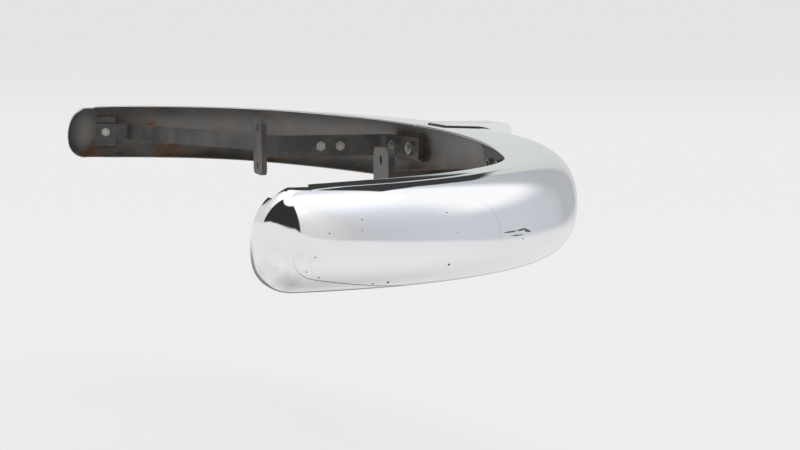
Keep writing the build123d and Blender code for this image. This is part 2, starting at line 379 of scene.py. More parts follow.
# Specks, where the plate has lifted in small ragged spots. Share is how many of the scattered
# cells have one.
speck_ragged = 0.06
specks, start, end = new_group(
    "specks",
    [("Per Metre", "NodeSocketFloat", 24.0), ("Size", "NodeSocketFloat", 0.05),
     ("Share", "NodeSocketFloat", 0.4)],
    [("Mask", "NodeSocketFloat")])
place = place_of(specks)
cells = specks.nodes.new("ShaderNodeTexVoronoi")
link(specks, place, cells.inputs["Vector"])
link(specks, start.outputs["Per Metre"], cells.inputs["Scale"])
ragged = math_node(specks, "MULTIPLY", noise(specks, place, 900.0), speck_ragged)
reach = math_node(specks, "ADD", cells.outputs["Distance"], ragged)
reach = math_node(specks, "SUBTRACT", reach, speck_ragged / 2)
near = math_node(specks, "LESS_THAN", reach, start.outputs["Size"])
chance = specks.nodes.new("ShaderNodeSeparateColor")
link(specks, cells.outputs["Color"], chance.inputs[0])
kept = math_node(specks, "LESS_THAN", chance.outputs[0], start.outputs["Share"])
link(specks, math_node(specks, "MULTIPLY", near, kept), end.inputs["Mask"])

# Waves that the press and the polishing leave in the sheet, long ones and short ones, which make
# what the plate mirrors waver a little.
wavy, start, end = new_group(
    "pressing_waves",
    [("Long", "NodeSocketFloat", 0.6), ("Short", "NodeSocketFloat", 0.1)],
    [("Height", "NodeSocketFloat")])
place = place_of(wavy)
long_wave = math_node(wavy, "MULTIPLY", noise(wavy, place, 9.0, 0.0), start.outputs["Long"])
short_wave = math_node(wavy, "MULTIPLY", noise(wavy, place, 55.0, 1.0), start.outputs["Short"])
link(wavy, math_node(wavy, "ADD", long_wave, short_wave), end.inputs["Height"])

# The scrape is where something hard has run along the right-hand corner and cut the plate. Its
# strokes are given along the bar and up, in millimetres from the scrape's middle.
scrape_place = (0.005, -0.806, 0.0)
scrape_turn = math.atan2(0.632, 0.775)
scrape_depth = 0.03
scrape_grain = (240, 240, 1300)
scrape_ragged = 1.6
stroke_soft = 0.3
strokes = (
    # along, height, half length, half width, slope
    (-10.0, -4.3, 13.0, 0.75, 0.0),
    (8.0, -4.0, 9.0, 1.0, 0.05),
    (17.5, -5.7, 7.0, 1.5, -0.22),
    (0.5, -8.3, 12.0, 0.6, -0.04),
    (10.3, -12.3, 1.5, 0.8, 0.0),
)
scrape, start, end = new_group("scrape", [], [("Mask", "NodeSocketFloat")])
offset = scrape.nodes.new("ShaderNodeVectorMath")
offset.operation = "SUBTRACT"
link(scrape, place_of(scrape), offset.inputs[0])
offset.inputs[1].default_value = scrape_place
turned = scrape.nodes.new("ShaderNodeVectorRotate")
turned.inputs["Axis"].default_value = (0, 0, 1)
turned.inputs["Angle"].default_value = -scrape_turn
link(scrape, offset.outputs[0], turned.inputs["Vector"])
split = scrape.nodes.new("ShaderNodeSeparateXYZ")
link(scrape, turned.outputs[0], split.inputs[0])
grain = noise(scrape, turned.outputs[0], 1.0, 4.0, scrape_grain)
ragged = math_node(scrape, "MULTIPLY_ADD", grain, scrape_ragged)
ragged.node.inputs[2].default_value = -scrape_ragged / 2
off_face = math_node(scrape, "ABSOLUTE", split.outputs["Y"])
beside = math_node(scrape, "LESS_THAN", off_face, scrape_depth)
cuts = None
for along_mm, height_mm, half_length, half_width_mm, slope in strokes:
    reach = math_node(scrape, "SUBTRACT", split.outputs["X"], along_mm / 1000)
    rise = math_node(scrape, "SUBTRACT", split.outputs["Z"], height_mm / 1000)
    rise = math_node(scrape, "SUBTRACT", rise, math_node(scrape, "MULTIPLY", reach, slope))
    far = math_node(scrape, "POWER", math_node(scrape, "DIVIDE", reach, half_length / 1000), 2.0)
    high = math_node(scrape, "DIVIDE", math_node(scrape, "ABSOLUTE", rise), half_width_mm / 1000)
    field = math_node(scrape, "SUBTRACT", math_node(scrape, "SUBTRACT", 1.0, far), high)
    cuts = field if cuts is None else math_node(scrape, "MAXIMUM", cuts, field)
cut = smooth_step(scrape, math_node(scrape, "ADD", cuts, ragged), 0.0, stroke_soft)
link(scrape, math_node(scrape, "MULTIPLY", cut, beside), end.inputs["Mask"])

# Chips in the plate of the right-hand corner, each with its place forward of the chassis, height
# and radius in millimetres.
chips = (
    (-180.3, 6.7, 0.6), (-151.7, 16.6, 0.6), (-152.0, 7.8, 0.5), (-192.5, -12.0, 0.6), (-188.7, -28.9, 0.7),
    (-140.1, -37.7, 0.8), (-126.5, -37.4, 1.1), (-72.0, 17.6, 0.6), (-62.2, 0.6, 0.5), (-70.7, -26.0, 1.1),
)
chip_side = -0.8
chip_edge = 0.0004
chip_ragged = 0.0008
chipped, start, end = new_group("chips", [], [("Mask", "NodeSocketFloat")])
split = chipped.nodes.new("ShaderNodeSeparateXYZ")
link(chipped, place_of(chipped), split.inputs[0])
ragged = math_node(chipped, "MULTIPLY", noise(chipped, place_of(chipped), 1500.0), chip_ragged)
nearest = None
for forward, height, radius in chips:
    run = math_node(chipped, "POWER", math_node(chipped, "SUBTRACT", split.outputs["X"], forward / 1000), 2.0)
    rise = math_node(chipped, "POWER", math_node(chipped, "SUBTRACT", split.outputs["Z"], height / 1000), 2.0)
    away = math_node(chipped, "SQRT", math_node(chipped, "ADD", run, rise))
    away = math_node(chipped, "SUBTRACT", away, radius / 1000)
    nearest = away if nearest is None else math_node(chipped, "MINIMUM", nearest, away)
inside = math_node(chipped, "LESS_THAN", math_node(chipped, "ADD", nearest, ragged), chip_edge)
outer = math_node(chipped, "LESS_THAN", split.outputs["Y"], chip_side)
link(chipped, math_node(chipped, "MULTIPLY", inside, outer), end.inputs["Mask"])

# Splashes of road dirt, dried on the lower part of the bar's ends, and a thin film with them. Both
# get fewer and fainter forward and upward.
splash_rear = (0.165, 0.225)
splash_low = (-0.004, 0.022)
splash_cells = 210.0
widest_dot = 0.3
smallest_dot = 0.04
dot_share = 0.55
film_patches = (0.42, 0.72)
splash, start, end = new_group(
    "splashes",
    [("Amount", "NodeSocketFloat", 1.0)],
    [("Dots", "NodeSocketFloat"), ("Film", "NodeSocketFloat")])
place = place_of(splash)
split = splash.nodes.new("ShaderNodeSeparateXYZ")
link(splash, place, split.inputs[0])
rear = smooth_step(splash, math_node(splash, "MULTIPLY", split.outputs["X"], -1.0), *splash_rear)
low = smooth_step(splash, math_node(splash, "MULTIPLY", split.outputs["Z"], -1.0), *splash_low)
where = math_node(splash, "MULTIPLY", rear, low)
where = math_node(splash, "MULTIPLY", where, start.outputs["Amount"])
cells = splash.nodes.new("ShaderNodeTexVoronoi")
cells.inputs["Scale"].default_value = splash_cells
link(splash, place, cells.inputs["Vector"])
chance = splash.nodes.new("ShaderNodeSeparateColor")
link(splash, cells.outputs["Color"], chance.inputs[0])
wide = math_node(splash, "MULTIPLY", math_node(splash, "POWER", chance.outputs[1], 3.0), widest_dot)
wide = math_node(splash, "ADD", wide, smallest_dot)
dot = math_node(splash, "LESS_THAN", cells.outputs["Distance"], wide)
rare = math_node(splash, "MULTIPLY", where, dot_share)
rare = math_node(splash, "LESS_THAN", chance.outputs[0], rare)
link(splash, math_node(splash, "MULTIPLY", dot, rare), end.inputs["Dots"])
film = smooth_step(splash, noise(splash, place, 60.0, 5.0), *film_patches)
link(splash, math_node(splash, "MULTIPLY", film, where), end.inputs["Film"])


def mix_color(tree, mask, first, second):
    """Blend of two colours or outputs by a mask."""
    node = tree.nodes.new("ShaderNodeMix")
    node.data_type = "RGBA"
    link(tree, mask, node.inputs[0])
    for socket, value in ((node.inputs[6], first), (node.inputs[7], second)):
        if isinstance(value, tuple):
            socket.default_value = value
        else:
            link(tree, value, socket)
    return node.outputs[2]


def bump(tree, shader, height, depth):
    """Fine relief of this depth in metres."""
    node = tree.nodes.new("ShaderNodeBump")
    node.inputs["Distance"].default_value = depth
    link(tree, height, node.inputs["Height"])
    link(tree, node.outputs["Normal"], shader.inputs["Normal"])


film_color = (0.72, 0.71, 0.69, 1)
dirt_color = (0.34, 0.29, 0.23, 1)
speck_color = (0.26, 0.255, 0.25, 1)
cut_color = (0.06, 0.058, 0.06, 1)
bare_color = (0.24, 0.235, 0.22, 1)
polish_roughness = 0.045
film_roughness = 0.12
worn_roughness = 0.5
cut_roughness = 0.55
worn_metal = 0.5
cut_metal = 0.4
bare_metal = 0.7
wave_depth = 0.00004


def chrome_plate(name, color, speck_share, scraped, bare_box=None):
    """Polished chromium plate with specks and dried splashes, and for the bar its scrape and chips.

    Inside bare_box, given as the greatest X and the half sizes along Y and Z, the steel is unplated.
    """
    material, tree, shader = new_material(name)
    spots = use_group(tree, specks, Per_Metre=26.0, Size=0.018, Share=speck_share).outputs["Mask"]
    pits = use_group(tree, specks, Per_Metre=240.0, Size=0.07, Share=speck_share * 0.3).outputs["Mask"]
    dirt = use_group(tree, splash, Amount=1.0 if scraped else 0.2)
    worn = math_node(tree, "MAXIMUM", spots, math_node(tree, "MULTIPLY", pits, 0.35))
    film = mix_color(tree, dirt.outputs["Film"], color, film_color)
    dotted = mix_color(tree, dirt.outputs["Dots"], film, dirt_color)
    plated = mix_color(tree, worn, dotted, speck_color)
    spoilt = math_node(tree, "MAXIMUM", worn, dirt.outputs["Dots"])
    rough = mix_value(tree, dirt.outputs["Film"], polish_roughness, film_roughness)
    rough = mix_value(tree, spoilt, rough, worn_roughness)
    metal = mix_value(tree, spoilt, 1.0, worn_metal)
    if scraped:
        rubbed = use_group(tree, scrape).outputs["Mask"]
        bare = math_node(tree, "MAXIMUM", rubbed, use_group(tree, chipped).outputs["Mask"])
        plated = mix_color(tree, bare, plated, cut_color)
        rough = mix_value(tree, bare, rough, cut_roughness)
        metal = mix_value(tree, bare, metal, cut_metal)
    if bare_box:
        split = tree.nodes.new("ShaderNodeSeparateXYZ")
        link(tree, place_of(tree), split.inputs[0])
        unplated = math_node(tree, "LESS_THAN", split.outputs["X"], bare_box[0])
        for axis, half in zip("YZ", bare_box[1:]):
            off_middle = math_node(tree, "ABSOLUTE", split.outputs[axis])
            within = math_node(tree, "LESS_THAN", off_middle, half)
            unplated = math_node(tree, "MULTIPLY", unplated, within)
        plated = mix_color(tree, unplated, plated, bare_color)
        rough = mix_value(tree, unplated, rough, worn_roughness)
        metal = mix_value(tree, unplated, metal, bare_metal)
    link(tree, plated, shader.inputs["Base Color"])
    link(tree, rough, shader.inputs["Roughness"])
    link(tree, metal, shader.inputs["Metallic"])
    bump(tree, shader, use_group(tree, wavy, Long=1.0, Short=0.12).outputs["Height"], wave_depth)
    return material


# Road dust, which lies in clouds on what faces up and packs into corners. Three tenths of it
# clings to faces that look sideways or down too.
clinging = 0.3
corner_reach = 0.012
dust, start, end = new_group("road_dust", [("Amount", "NodeSocketFloat", 0.5)], [("Mask", "NodeSocketFloat")])
place = place_of(dust)
facing = dust.nodes.new("ShaderNodeSeparateXYZ")
link(dust, dust.nodes.new("ShaderNodeNewGeometry").outputs["Normal"], facing.inputs[0])
level_up = smooth_step(dust, facing.outputs["Z"], -0.3, 0.95)
cloud = smooth_step(dust, noise(dust, place, 22.0, 5.0), 0.34, 0.68)
lying = math_node(dust, "MULTIPLY_ADD", level_up, 1 - clinging)
lying.node.inputs[2].default_value = clinging
hollow = dust.nodes.new("ShaderNodeAmbientOcclusion")
hollow.samples = 4
hollow.inputs["Distance"].default_value = corner_reach
packed = math_node(dust, "SUBTRACT", 1.0, smooth_step(dust, hollow.outputs["AO"], 0.35, 0.85))
packed = math_node(dust, "MULTIPLY", packed, smooth_step(dust, noise(dust, place, 90.0, 3.0), 0.3, 0.6))
settled = math_node(dust, "MAXIMUM", math_node(dust, "MULTIPLY", lying, cloud), packed)
link(dust, math_node(dust, "MULTIPLY", settled, start.outputs["Amount"]), end.inputs["Mask"])

# Edge wear, where paint or plate has gone from sharp edges in broken stretches. Radius is how far
# in from the edge it reaches.
edges, start, end = new_group(
    "edge_wear",
    [("Radius", "NodeSocketFloat", 0.002), ("Amount", "NodeSocketFloat", 0.6)],
    [("Mask", "NodeSocketFloat")])
rounded = edges.nodes.new("ShaderNodeBevel")
rounded.samples = 4
link(edges, start.outputs["Radius"], rounded.inputs["Radius"])
same = edges.nodes.new("ShaderNodeVectorMath")
same.operation = "DOT_PRODUCT"
link(edges, rounded.outputs["Normal"], same.inputs[0])
link(edges, edges.nodes.new("ShaderNodeNewGeometry").outputs["Normal"], same.inputs[1])
sharp = smooth_step(edges, math_node(edges, "SUBTRACT", 1.0, same.outputs["Value"]), 0.01, 0.16)
broken = smooth_step(edges, noise(edges, place_of(edges), 120.0, 5.0), 0.38, 0.58)
worn = math_node(edges, "MULTIPLY", sharp, broken)
link(edges, math_node(edges, "MULTIPLY", worn, start.outputs["Amount"]), end.inputs["Mask"])

# Rust in blooms, broad patches with an eaten rim. Its fine grain also sets the rust's colour and
# the relief of the piece.
grain_share = 0.35
rust, start, end = new_group(
    "rust_bloom",
    [("Amount", "NodeSocketFloat", 0.5)],
    [("Mask", "NodeSocketFloat"), ("Grain", "NodeSocketFloat")])
place = place_of(rust)
broad = noise(rust, place, 16.0, 6.0)
fine = noise(rust, place, 260.0, 4.0)
rim = math_node(rust, "MULTIPLY", math_node(rust, "SUBTRACT", fine, 0.5), grain_share)
eaten = math_node(rust, "ADD", broad, rim)
limit = math_node(rust, "SUBTRACT", 0.86, math_node(rust, "MULTIPLY", start.outputs["Amount"], 0.5))
link(rust, smooth_step(rust, math_node(rust, "SUBTRACT", eaten, limit), 0.0, 0.06), end.inputs["Mask"])
link(rust, fine, end.inputs["Grain"])


dust_color = (0.36, 0.32, 0.27, 1)
rust_dark = (0.10, 0.034, 0.013, 1)
rust_light = (0.30, 0.125, 0.045, 1)
rust_roughness = 0.85
dust_roughness = 0.9
wear_radius = 0.002
lowest_stretch = (0.018, 0.044)


def aged_metal(name, color, metallic, roughness, rust_amount, dust_amount, grain, wear=0.0, low_rust=0.0):
    """Bare or painted steel with worn edges, rust, road dust and a fine grain."""
    material, tree, shader = new_material(name)
    bloom = use_group(tree, rust, Amount=rust_amount)
    if low_rust:
        split = tree.nodes.new("ShaderNodeSeparateXYZ")
        link(tree, place_of(tree), split.inputs[0])
        down = math_node(tree, "MULTIPLY", split.outputs["Z"], -1.0)
        low = smooth_step(tree, down, *lowest_stretch)
        amount = math_node(tree, "MULTIPLY_ADD", low, low_rust)
        amount.node.inputs[2].default_value = rust_amount
        link(tree, amount, bloom.inputs["Amount"])
    settled = use_group(tree, dust, Amount=dust_amount).outputs["Mask"]
    shade = noise(tree, place_of(tree), 34.0, 4.0)
    darker = tuple(c * 0.8 for c in color) + (1,)
    lighter = tuple(min(1, c * 1.2) for c in color) + (1,)
    base = mix_color(tree, shade, darker, lighter)
    rusty = bloom.outputs["Mask"]
    if wear:
        worn = use_group(tree, edges, Radius=wear_radius, Amount=wear)
        rusty = math_node(tree, "MAXIMUM", rusty, worn.outputs["Mask"])
    rusted = mix_color(tree, bloom.outputs["Grain"], rust_dark, rust_light)
    base = mix_color(tree, rusty, base, rusted)
    base = mix_color(tree, settled, base, dust_color)
    link(tree, base, shader.inputs["Base Color"])
    rough = mix_value(tree, rusty, roughness, rust_roughness)
    link(tree, mix_value(tree, settled, rough, dust_roughness), shader.inputs["Roughness"])
    metal = mix_value(tree, rusty, metallic, 0.0)
    link(tree, mix_value(tree, settled, metal, 0.0), shader.inputs["Metallic"])
    bump(tree, shader, bloom.outputs["Grain"], grain)
    return material


chrome_color = (0.84, 0.85, 0.865, 1)
bar_chrome = chrome_plate("chrome_bar", chrome_color, 0.45, True)
bar_inside = aged_metal("bare_inside", (0.20, 0.195, 0.19), 0.75, 0.5, 0.45, 0.5, 0.00012, low_rust=0.22)
loops = []
for station in bar_stations():
    loop, outer_count = station_loop(*station)
    loops.append(loop)
for name, side in (("right", 1), ("left", -1)):
    mesh = bar_mesh("plated_bar_" + name, side, loops, outer_count)
    mesh.materials.append(bar_chrome)
    mesh.materials.append(bar_inside)
    half = bpy.data.objects.new("plated_bar_" + name, mesh)
    scene.collection.objects.link(half)
    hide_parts("bar_" + name)
    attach(half, "root")


def dress(material, *names):
    """Give carried-over nodes their material."""
    for name in names:
        for slot in nodes[name].material_slots:
            slot.material = material


dress(bar_chrome, "bar_right", "bar_left")

# Centre cover. Pressed steel, squared and chromium plated, with closed ends and two studs welded
# inside, which stay bare behind the bar.
cover_inside = (front_x, 0.034, 0.040)
cover_color = (0.82, 0.83, 0.85, 1)
dress(chrome_plate("chrome_cover", cover_color, 0.35, False, cover_inside), "centre_cover")

# Bar bolts. Steel with round chromed heads, two a side. Their shanks and nuts, which lie behind
# the bar's front skin, are zinc plated and dull.
zinc_color = (0.42, 0.41, 0.38)
bolt_rust = (0.2, 0.08, 0.03, 1)
bolt_specks = (0.3, 0.29, 0.28, 1)
zinc_roughness = 0.42
head_roughness = 0.06
zinc_metal = 0.85
bolt_chrome, tree, shader = new_material("chrome_bolts")
flat = tree.nodes.new("ShaderNodeVectorMath")
flat.operation = "MULTIPLY"
flat.inputs[1].default_value = (1, 1, 0)
link(tree, place_of(tree), flat.inputs[0])
away = tree.nodes.new("ShaderNodeVectorMath")
away.operation = "DISTANCE"
away.inputs[1].default_value = bar_front
link(tree, flat.outputs[0], away.inputs[0])
head = math_node(tree, "GREATER_THAN", away.outputs["Value"], front_radius - wall)
spots = use_group(tree, specks, Per_Metre=240.0, Size=0.07, Share=0.1).outputs["Mask"]
settled = use_group(tree, dust, Amount=0.35).outputs["Mask"]
dull = mix_color(tree, settled, zinc_color + (1,), dust_color)
dull = mix_color(tree, use_group(tree, rust, Amount=0.36).outputs["Mask"], dull, bolt_rust)
plated = mix_color(tree, spots, cover_color, bolt_specks)
link(tree, mix_color(tree, head, dull, plated), shader.inputs["Base Color"])
link(tree, mix_value(tree, head, zinc_roughness, head_roughness), shader.inputs["Roughness"])
link(tree, mix_value(tree, head, zinc_metal, 1.0), shader.inputs["Metallic"])
dress(bolt_chrome, "bar_bolts")

# Irons, stays, cleats and the joint plate. Steel flat and strip, cut, bent and painted black. The
# paint has gone from the edges, which have rusted, and road dust lies over it all.
chassis_paint = aged_metal("painted_iron", (0.028, 0.028, 0.030), 0.0, 0.42, 0.32, 0.4, 0.00008, wear=0.85)
dress(chassis_paint, "iron_right", "iron_left", "stay_right", "stay_left", "cleat_right", "cleat_left",
      "joint_plate")

# Weld beads. Arc welds laid by hand, as rows of small scales: round each iron's root on its flange,
# and along both legs of each cleat on the bar's bare inside.
bead_radius = 0.0022
bead_pitch = 0.0024
bead_sides = 12
bead_step = 0.0006
bead_proud = bead_radius * 0.3
bead_valley = 0.78
bead_scale = 0.22
bead_tip_rows = 3
bead_thinnest = 0.0001
iron_y = 0.36
iron_thick = 0.008
iron_height = 0.032
cleat_back = 0.030
cleat_half_length = 0.017
cleat_half_height = 0.025
leg_steps = 58


def bead_mesh(name, path, closed):
    """Rippled tube along a path of points."""
    rows = []
    walked = 0.0
    count = len(path)
    for i, point in enumerate(path):
        after = path[(i + 1) % count] if closed or i < count - 1 else point
        before = path[i - 1] if closed or i else point
        tangent = (after - before).normalized()
        across = tangent.cross(Vector((0.31, 0.52, 0.79))).normalized()
        other = tangent.cross(across)
        scale = (walked / bead_pitch) % 1.0
        radius = bead_radius * (bead_valley + bead_scale * math.sqrt(1 - scale * scale))
        if not closed:
            tip = min(i, count - 1 - i) / bead_tip_rows
            radius *= math.sqrt(1 - (1 - min(1.0, tip)) ** 2)
        radius = max(radius, bead_thinnest)
        rows.append([point + (across * math.cos(a) + other * math.sin(a)) * radius
                     for a in spread(0.0, 2 * math.pi, bead_sides)])
        walked += (after - point).length
    verts = [tuple(v) for row in rows for v in row]
    faces = []
    for i in range(count if closed else count - 1):
        here, there = i * bead_sides, (i + 1) % count * bead_sides
        for k in range(bead_sides):
            beyond = (k + 1) % bead_sides
            faces.append((here + k, here + beyond, there + beyond, there + k))
    if not closed:
        last = (count - 1) * bead_sides
        faces += [tuple(range(bead_sides - 1, -1, -1)), tuple(range(last, last + bead_sides))]
    mesh = bpy.data.meshes.new(name)
    mesh.from_pydata(verts, [], faces)
    mesh.polygons.foreach_set("use_smooth", [True] * len(faces))
    mesh.materials.append(chassis_paint)
    return mesh


def inner_depth(z):
    """Depth of the bar's inner skin behind its face, at a height on one of its rolls."""
    centre, radius = (top_centre, top_roll) if z > 0 else (low_centre, bottom_roll)
    radius -= wall
    return centre[0] - math.sqrt(radius * radius - (z - centre[1]) ** 2)


def lay_weld(name, path, closed, side):
    """One weld bead of the right-hand path, on this side of the bumper."""
    path = [Vector((p.x, p.y * side, p.z)) for p in path]
    bead = bpy.data.objects.new(name, bead_mesh(name, path, closed))
    scene.collection.objects.link(bead)
    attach(bead, "root")


half_y = iron_thick / 2 + bead_proud
half_z = iron_height / 2 + bead_proud
corners = [(half_y, -half_z), (half_y, half_z), (-half_y, half_z), (-half_y, -half_z), (half_y, -half_z)]
root_path = []
for (y0, z0), (y1, z1) in zip(corners, corners[1:]):
    steps = max(2, round(math.hypot(y1 - y0, z1 - z0) / bead_step))
    root_path += [Vector((iron_thick + bead_proud, -iron_y + y0 + (y1 - y0) * k / steps,
                          z0 + (z1 - z0) * k / steps)) for k in range(steps)]
cleat_turn = bar_side - cleat_back / corner_radius
leg_paths = []
for z in (cleat_half_height, -cleat_half_height):
    z += math.copysign(bead_proud, z)
    radius = corner_radius - inner_depth(z) - bead_radius * 0.5
    spread_turn = cleat_half_length / radius
    leg_paths.append([bar_corner + outward(cleat_turn + a) * radius + Vector((0, 0, z))
                      for a in spread(-spread_turn, spread_turn, leg_steps)])
for word, side in (("right", 1), ("left", -1)):
    lay_weld("iron_weld_" + word, root_path, True, side)
    for k, path in enumerate(leg_paths):
        lay_weld("cleat_weld_%s_%d" % (word, k + 1), path, False, side)

# Packings. Grey iron castings that fill the gap between the bar and the irons, painted thinly over
# their rough sand-cast skin.
cast_skin = aged_metal("cast_packing", (0.06, 0.055, 0.05), 0.2, 0.7, 0.5, 0.4, 0.0004, wear=0.7)
dress(cast_skin, "packing_right", "packing_left")

# Cover nuts and stay bolts. Hexagon steel, zinc plated and gone dull, with rust starting at the
# edges.
dull_zinc = aged_metal("zinc_bolts", zinc_color, 0.9, 0.42, 0.34, 0.3, 0.00005, wear=0.5)
dress(dull_zinc, "stay_bolts", "cover_nuts")

# Beading and buffers. Moulded black rubber, pinched between the steel pieces and greyed a little
# by dust.
rubber_color = (0.022, 0.022, 0.023, 1)
dusty_rubber = (0.2, 0.19, 0.175, 1)
rubber_roughness = 0.62
rubber_grain = 0.00008
rubber, tree, shader = new_material("rubber_beading")
settled = use_group(tree, dust, Amount=0.35).outputs["Mask"]
link(tree, mix_color(tree, settled, rubber_color, dusty_rubber), shader.inputs["Base Color"])
link(tree, mix_value(tree, settled, rubber_roughness, dust_roughness), shader.inputs["Roughness"])
bump(tree, shader, noise(tree, place_of(tree), 700.0, 3.0), rubber_grain)
dress(rubber, "cover_beading", "buffer_right", "buffer_left")

# Studio floor. Pale and seamless, as far under the bumper as the road is in use. Only the camera
# and soft light see it: what the chrome mirrors of it comes with the studio's light below.
floor_drop = 0.42
floor_half = 150.0
near_tone = 0.845
far_tone = 0.775
under_paint = 0.40
under_tone = 0.58
under_reach = (1.2, 4.5)
horizon_share = 0.13


def grey(tone):
    """Neutral colour of this tone."""
    return (tone, tone, tone, 1)


def card(name, corners, faces, material):
    """Flat sheet of the studio, not part of the bumper."""
    mesh = bpy.data.meshes.new(name)
    mesh.from_pydata(corners, [], faces)
    mesh.materials.append(material)
    sheet = bpy.data.objects.new(name, mesh)
    scene.collection.objects.link(sheet)
    sheet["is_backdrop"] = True
    return sheet


def ramp(tree, value, low, high, stops):
    """Level by stops of value and level, joined by straight lines, for values between low and high."""
    span = tree.nodes.new("ShaderNodeMapRange")
    span.inputs["From Min"].default_value = low
    span.inputs["From Max"].default_value = high
    link(tree, value, span.inputs["Value"])
    node = tree.nodes.new("ShaderNodeValToRGB")
    link(tree, span.outputs["Result"], node.inputs["Fac"])
    elements = node.color_ramp.elements
    while len(elements) < len(stops):
        elements.new(0.5)
    for element, (place, level) in zip(elements, stops):
        element.position = (place - low) / (high - low)
        element.color = grey(level)
    return node.outputs["Color"]


floor_paint, tree, shader = new_material("floor_paint")
flat = tree.nodes.new("ShaderNodeVectorMath")
flat.operation = "LENGTH"
link(tree, place_of(tree), flat.inputs[0])
away = smooth_step(tree, flat.outputs["Value"], *under_reach)
nearness = math_node(tree, "DIVIDE", 1.0, math_node(tree, "MAXIMUM", flat.outputs["Value"], 0.1))
near = smooth_step(tree, nearness, 0.0, horizon_share)
glow_tone = mix_color(tree, near, grey(far_tone), grey(near_tone))
link(tree, mix_color(tree, away, grey(under_paint), grey(0)), shader.inputs["Base Color"])
shader.inputs["Roughness"].default_value = 0.8
shader.inputs["Specular IOR Level"].default_value = 0.0
own = mix_color(tree, away, grey(under_tone), glow_tone)
link(tree, own, shader.inputs["Emission Color"])
shader.inputs["Emission Strength"].default_value = 1.0
corners = [(x, y, -floor_drop) for x, y in ((-floor_half, -floor_half), (floor_half, -floor_half),
                                            (floor_half, floor_half), (-floor_half, floor_half))]
floor = card("floor", corners, [(0, 1, 2, 3)], floor_paint)
floor.visible_glossy = False

# Studio light. Pale walls that brighten upward to a wide soft ceiling, with a light bank in front of
# the corner, a dimmer stretch of wall beside it, a dark drape with a bright gap over the bumper's
# middle and a dark doorway behind. Angles are in degrees, turned from +Y to +X.
wall_by_height = ((-10, 0.65), (12, 0.65), (20, 0.68), (31, 0.734), (42, 0.84), (50, 0.985),
                  (57, 1.15), (90, 1.3))
wall_by_turn = ((0, 1.14), (14, 1.10), (27.5, 0.98), (28.6, 0.70), (29.6, 0.70), (31, 0.76),
                (42, 0.77), (50, 0.91), (58, 0.98), (68, 1.0), (80, 1.05), (112, 1.06), (128, 1.01),
                (146, 0.96), (156, 1.12), (330, 1.16), (360, 1.14))
floor_by_height = ((-90, 0.55), (-75, 0.66), (-60, 0.76), (-46, 0.85), (-22, 0.905), (-8, 0.875),
                   (30, 0.87))
floor_by_turn = ((0, 0.9), (30, 0.93), (60, 0.95), (90, 0.96), (120, 1.0), (360, 1.0))
shade_by_turn = ((0, 0.3), (16.5, 0.3), (20, 0.6), (24, 0.82), (31, 1.0), (335, 1.0), (345, 0.3),
                 (360, 0.3))
shade_heights = (-36, -7)
foot_by_turn = ((0, -4), (30, -6), (51, -7.3), (71, -8.4), (90, -9.2), (103, -7.4), (126, -2.5),
                (152, 4.6), (166, 14), (180, 22), (240, 28), (270, 26), (328, 8), (360, -4))
foot_low = -20.0
foot_span = 60.0
foot_soft = 2.0
dark_by_height = ((0, 17.5), (8, 19), (11, 20.2), (16, 22.2), (20, 24.5), (26, 29), (33, 35),
                  (47, 41), (54, 48), (62, 60), (75, 75))
dark_first = (-13, -11)
dark_heights = (7.5, 58)
dark_soft = 0.8
dark_level = 0.05
glint_by_height = ((0, 17), (8.4, 18.9), (19.8, 21.6), (34.6, 24.6), (46, 24.6), (54, 27),
                   (62, 31.6), (75, 40))
glint_half = 0.7
glint_soft = 0.35
widest_turn = 90.0
seam_by_height = ((-10, 92), (14, 91.2), (23, 88.7), (33, 84), (40, 83))
seam_low = 80.0
seam_span = 20.0
seam_heights = (-7, 33)
seam_half = 0.35
seam_soft = 0.2
seam_depth = 0.12
bank_heights = (13, 29)
bank_first = (42, 57)
bank_last = (90, 118)
bank_level = 1.12
door_turns = (171, 300)
door_heights = (10, 72)
door_level = 0.035
bank_tint = (1.0, 1.0, 1.0, 1)
cool_tint = (0.967, 0.987, 1.042, 1)
green_tint = (0.975, 1.01, 0.99, 1)
warm_tint = (1.01, 1.0, 0.975, 1)
floor_tint = (1.0, 1.0, 0.995, 1)
world = bpy.data.worlds.new("studio")
scene.world = world
world.use_nodes = True
tree = world.node_tree
tree.nodes.clear()
coords = tree.nodes.new("ShaderNodeTexCoord")
split = tree.nodes.new("ShaderNodeSeparateXYZ")
link(tree, coords.outputs["Generated"], split.inputs[0])
degrees = 180.0 / math.pi
height = math_node(tree, "MULTIPLY", math_node(tree, "ARCSINE", split.outputs["Z"]), degrees)
turn = math_node(tree, "ARCTAN2", split.outputs["X"], split.outputs["Y"])
turn = math_node(tree, "MULTIPLY", turn, degrees)
turn = math_node(tree, "FLOORED_MODULO", turn, 360.0)
wall_level = math_node(tree, "MULTIPLY", ramp(tree, height, -90, 90, wall_by_height),
                       ramp(tree, turn, 0, 360, wall_by_turn))
bank = math_node(tree, "MULTIPLY", smooth_step(tree, height, *bank_heights),
                 smooth_step(tree, turn, *bank_first))
bank = math_node(tree, "MULTIPLY", bank,
                 math_node(tree, "SUBTRACT", 1.0, smooth_step(tree, turn, *bank_last)))
wall_level = math_node(tree, "MAXIMUM", wall_level, mix_value(tree, bank, wall_level, bank_level))
door = math_node(tree, "MULTIPLY", between(tree, turn, *door_turns, 1.2),
                 between(tree, height, *door_heights, 2.0))
wall_level = mix_value(tree, door, wall_level, door_level)
past_half = math_node(tree, "MULTIPLY", math_node(tree, "GREATER_THAN", turn, 180.0), 360.0)
signed = math_node(tree, "SUBTRACT", turn, past_half)
dark_share = ramp(tree, height, 0, 75, [(place, edge / widest_turn) for place, edge in dark_by_height])
dark_off = math_node(tree, "SUBTRACT", math_node(tree, "MULTIPLY", dark_share, widest_turn), signed)
glint_share = ramp(tree, height, 0, 75, [(place, edge / widest_turn) for place, edge in glint_by_height])
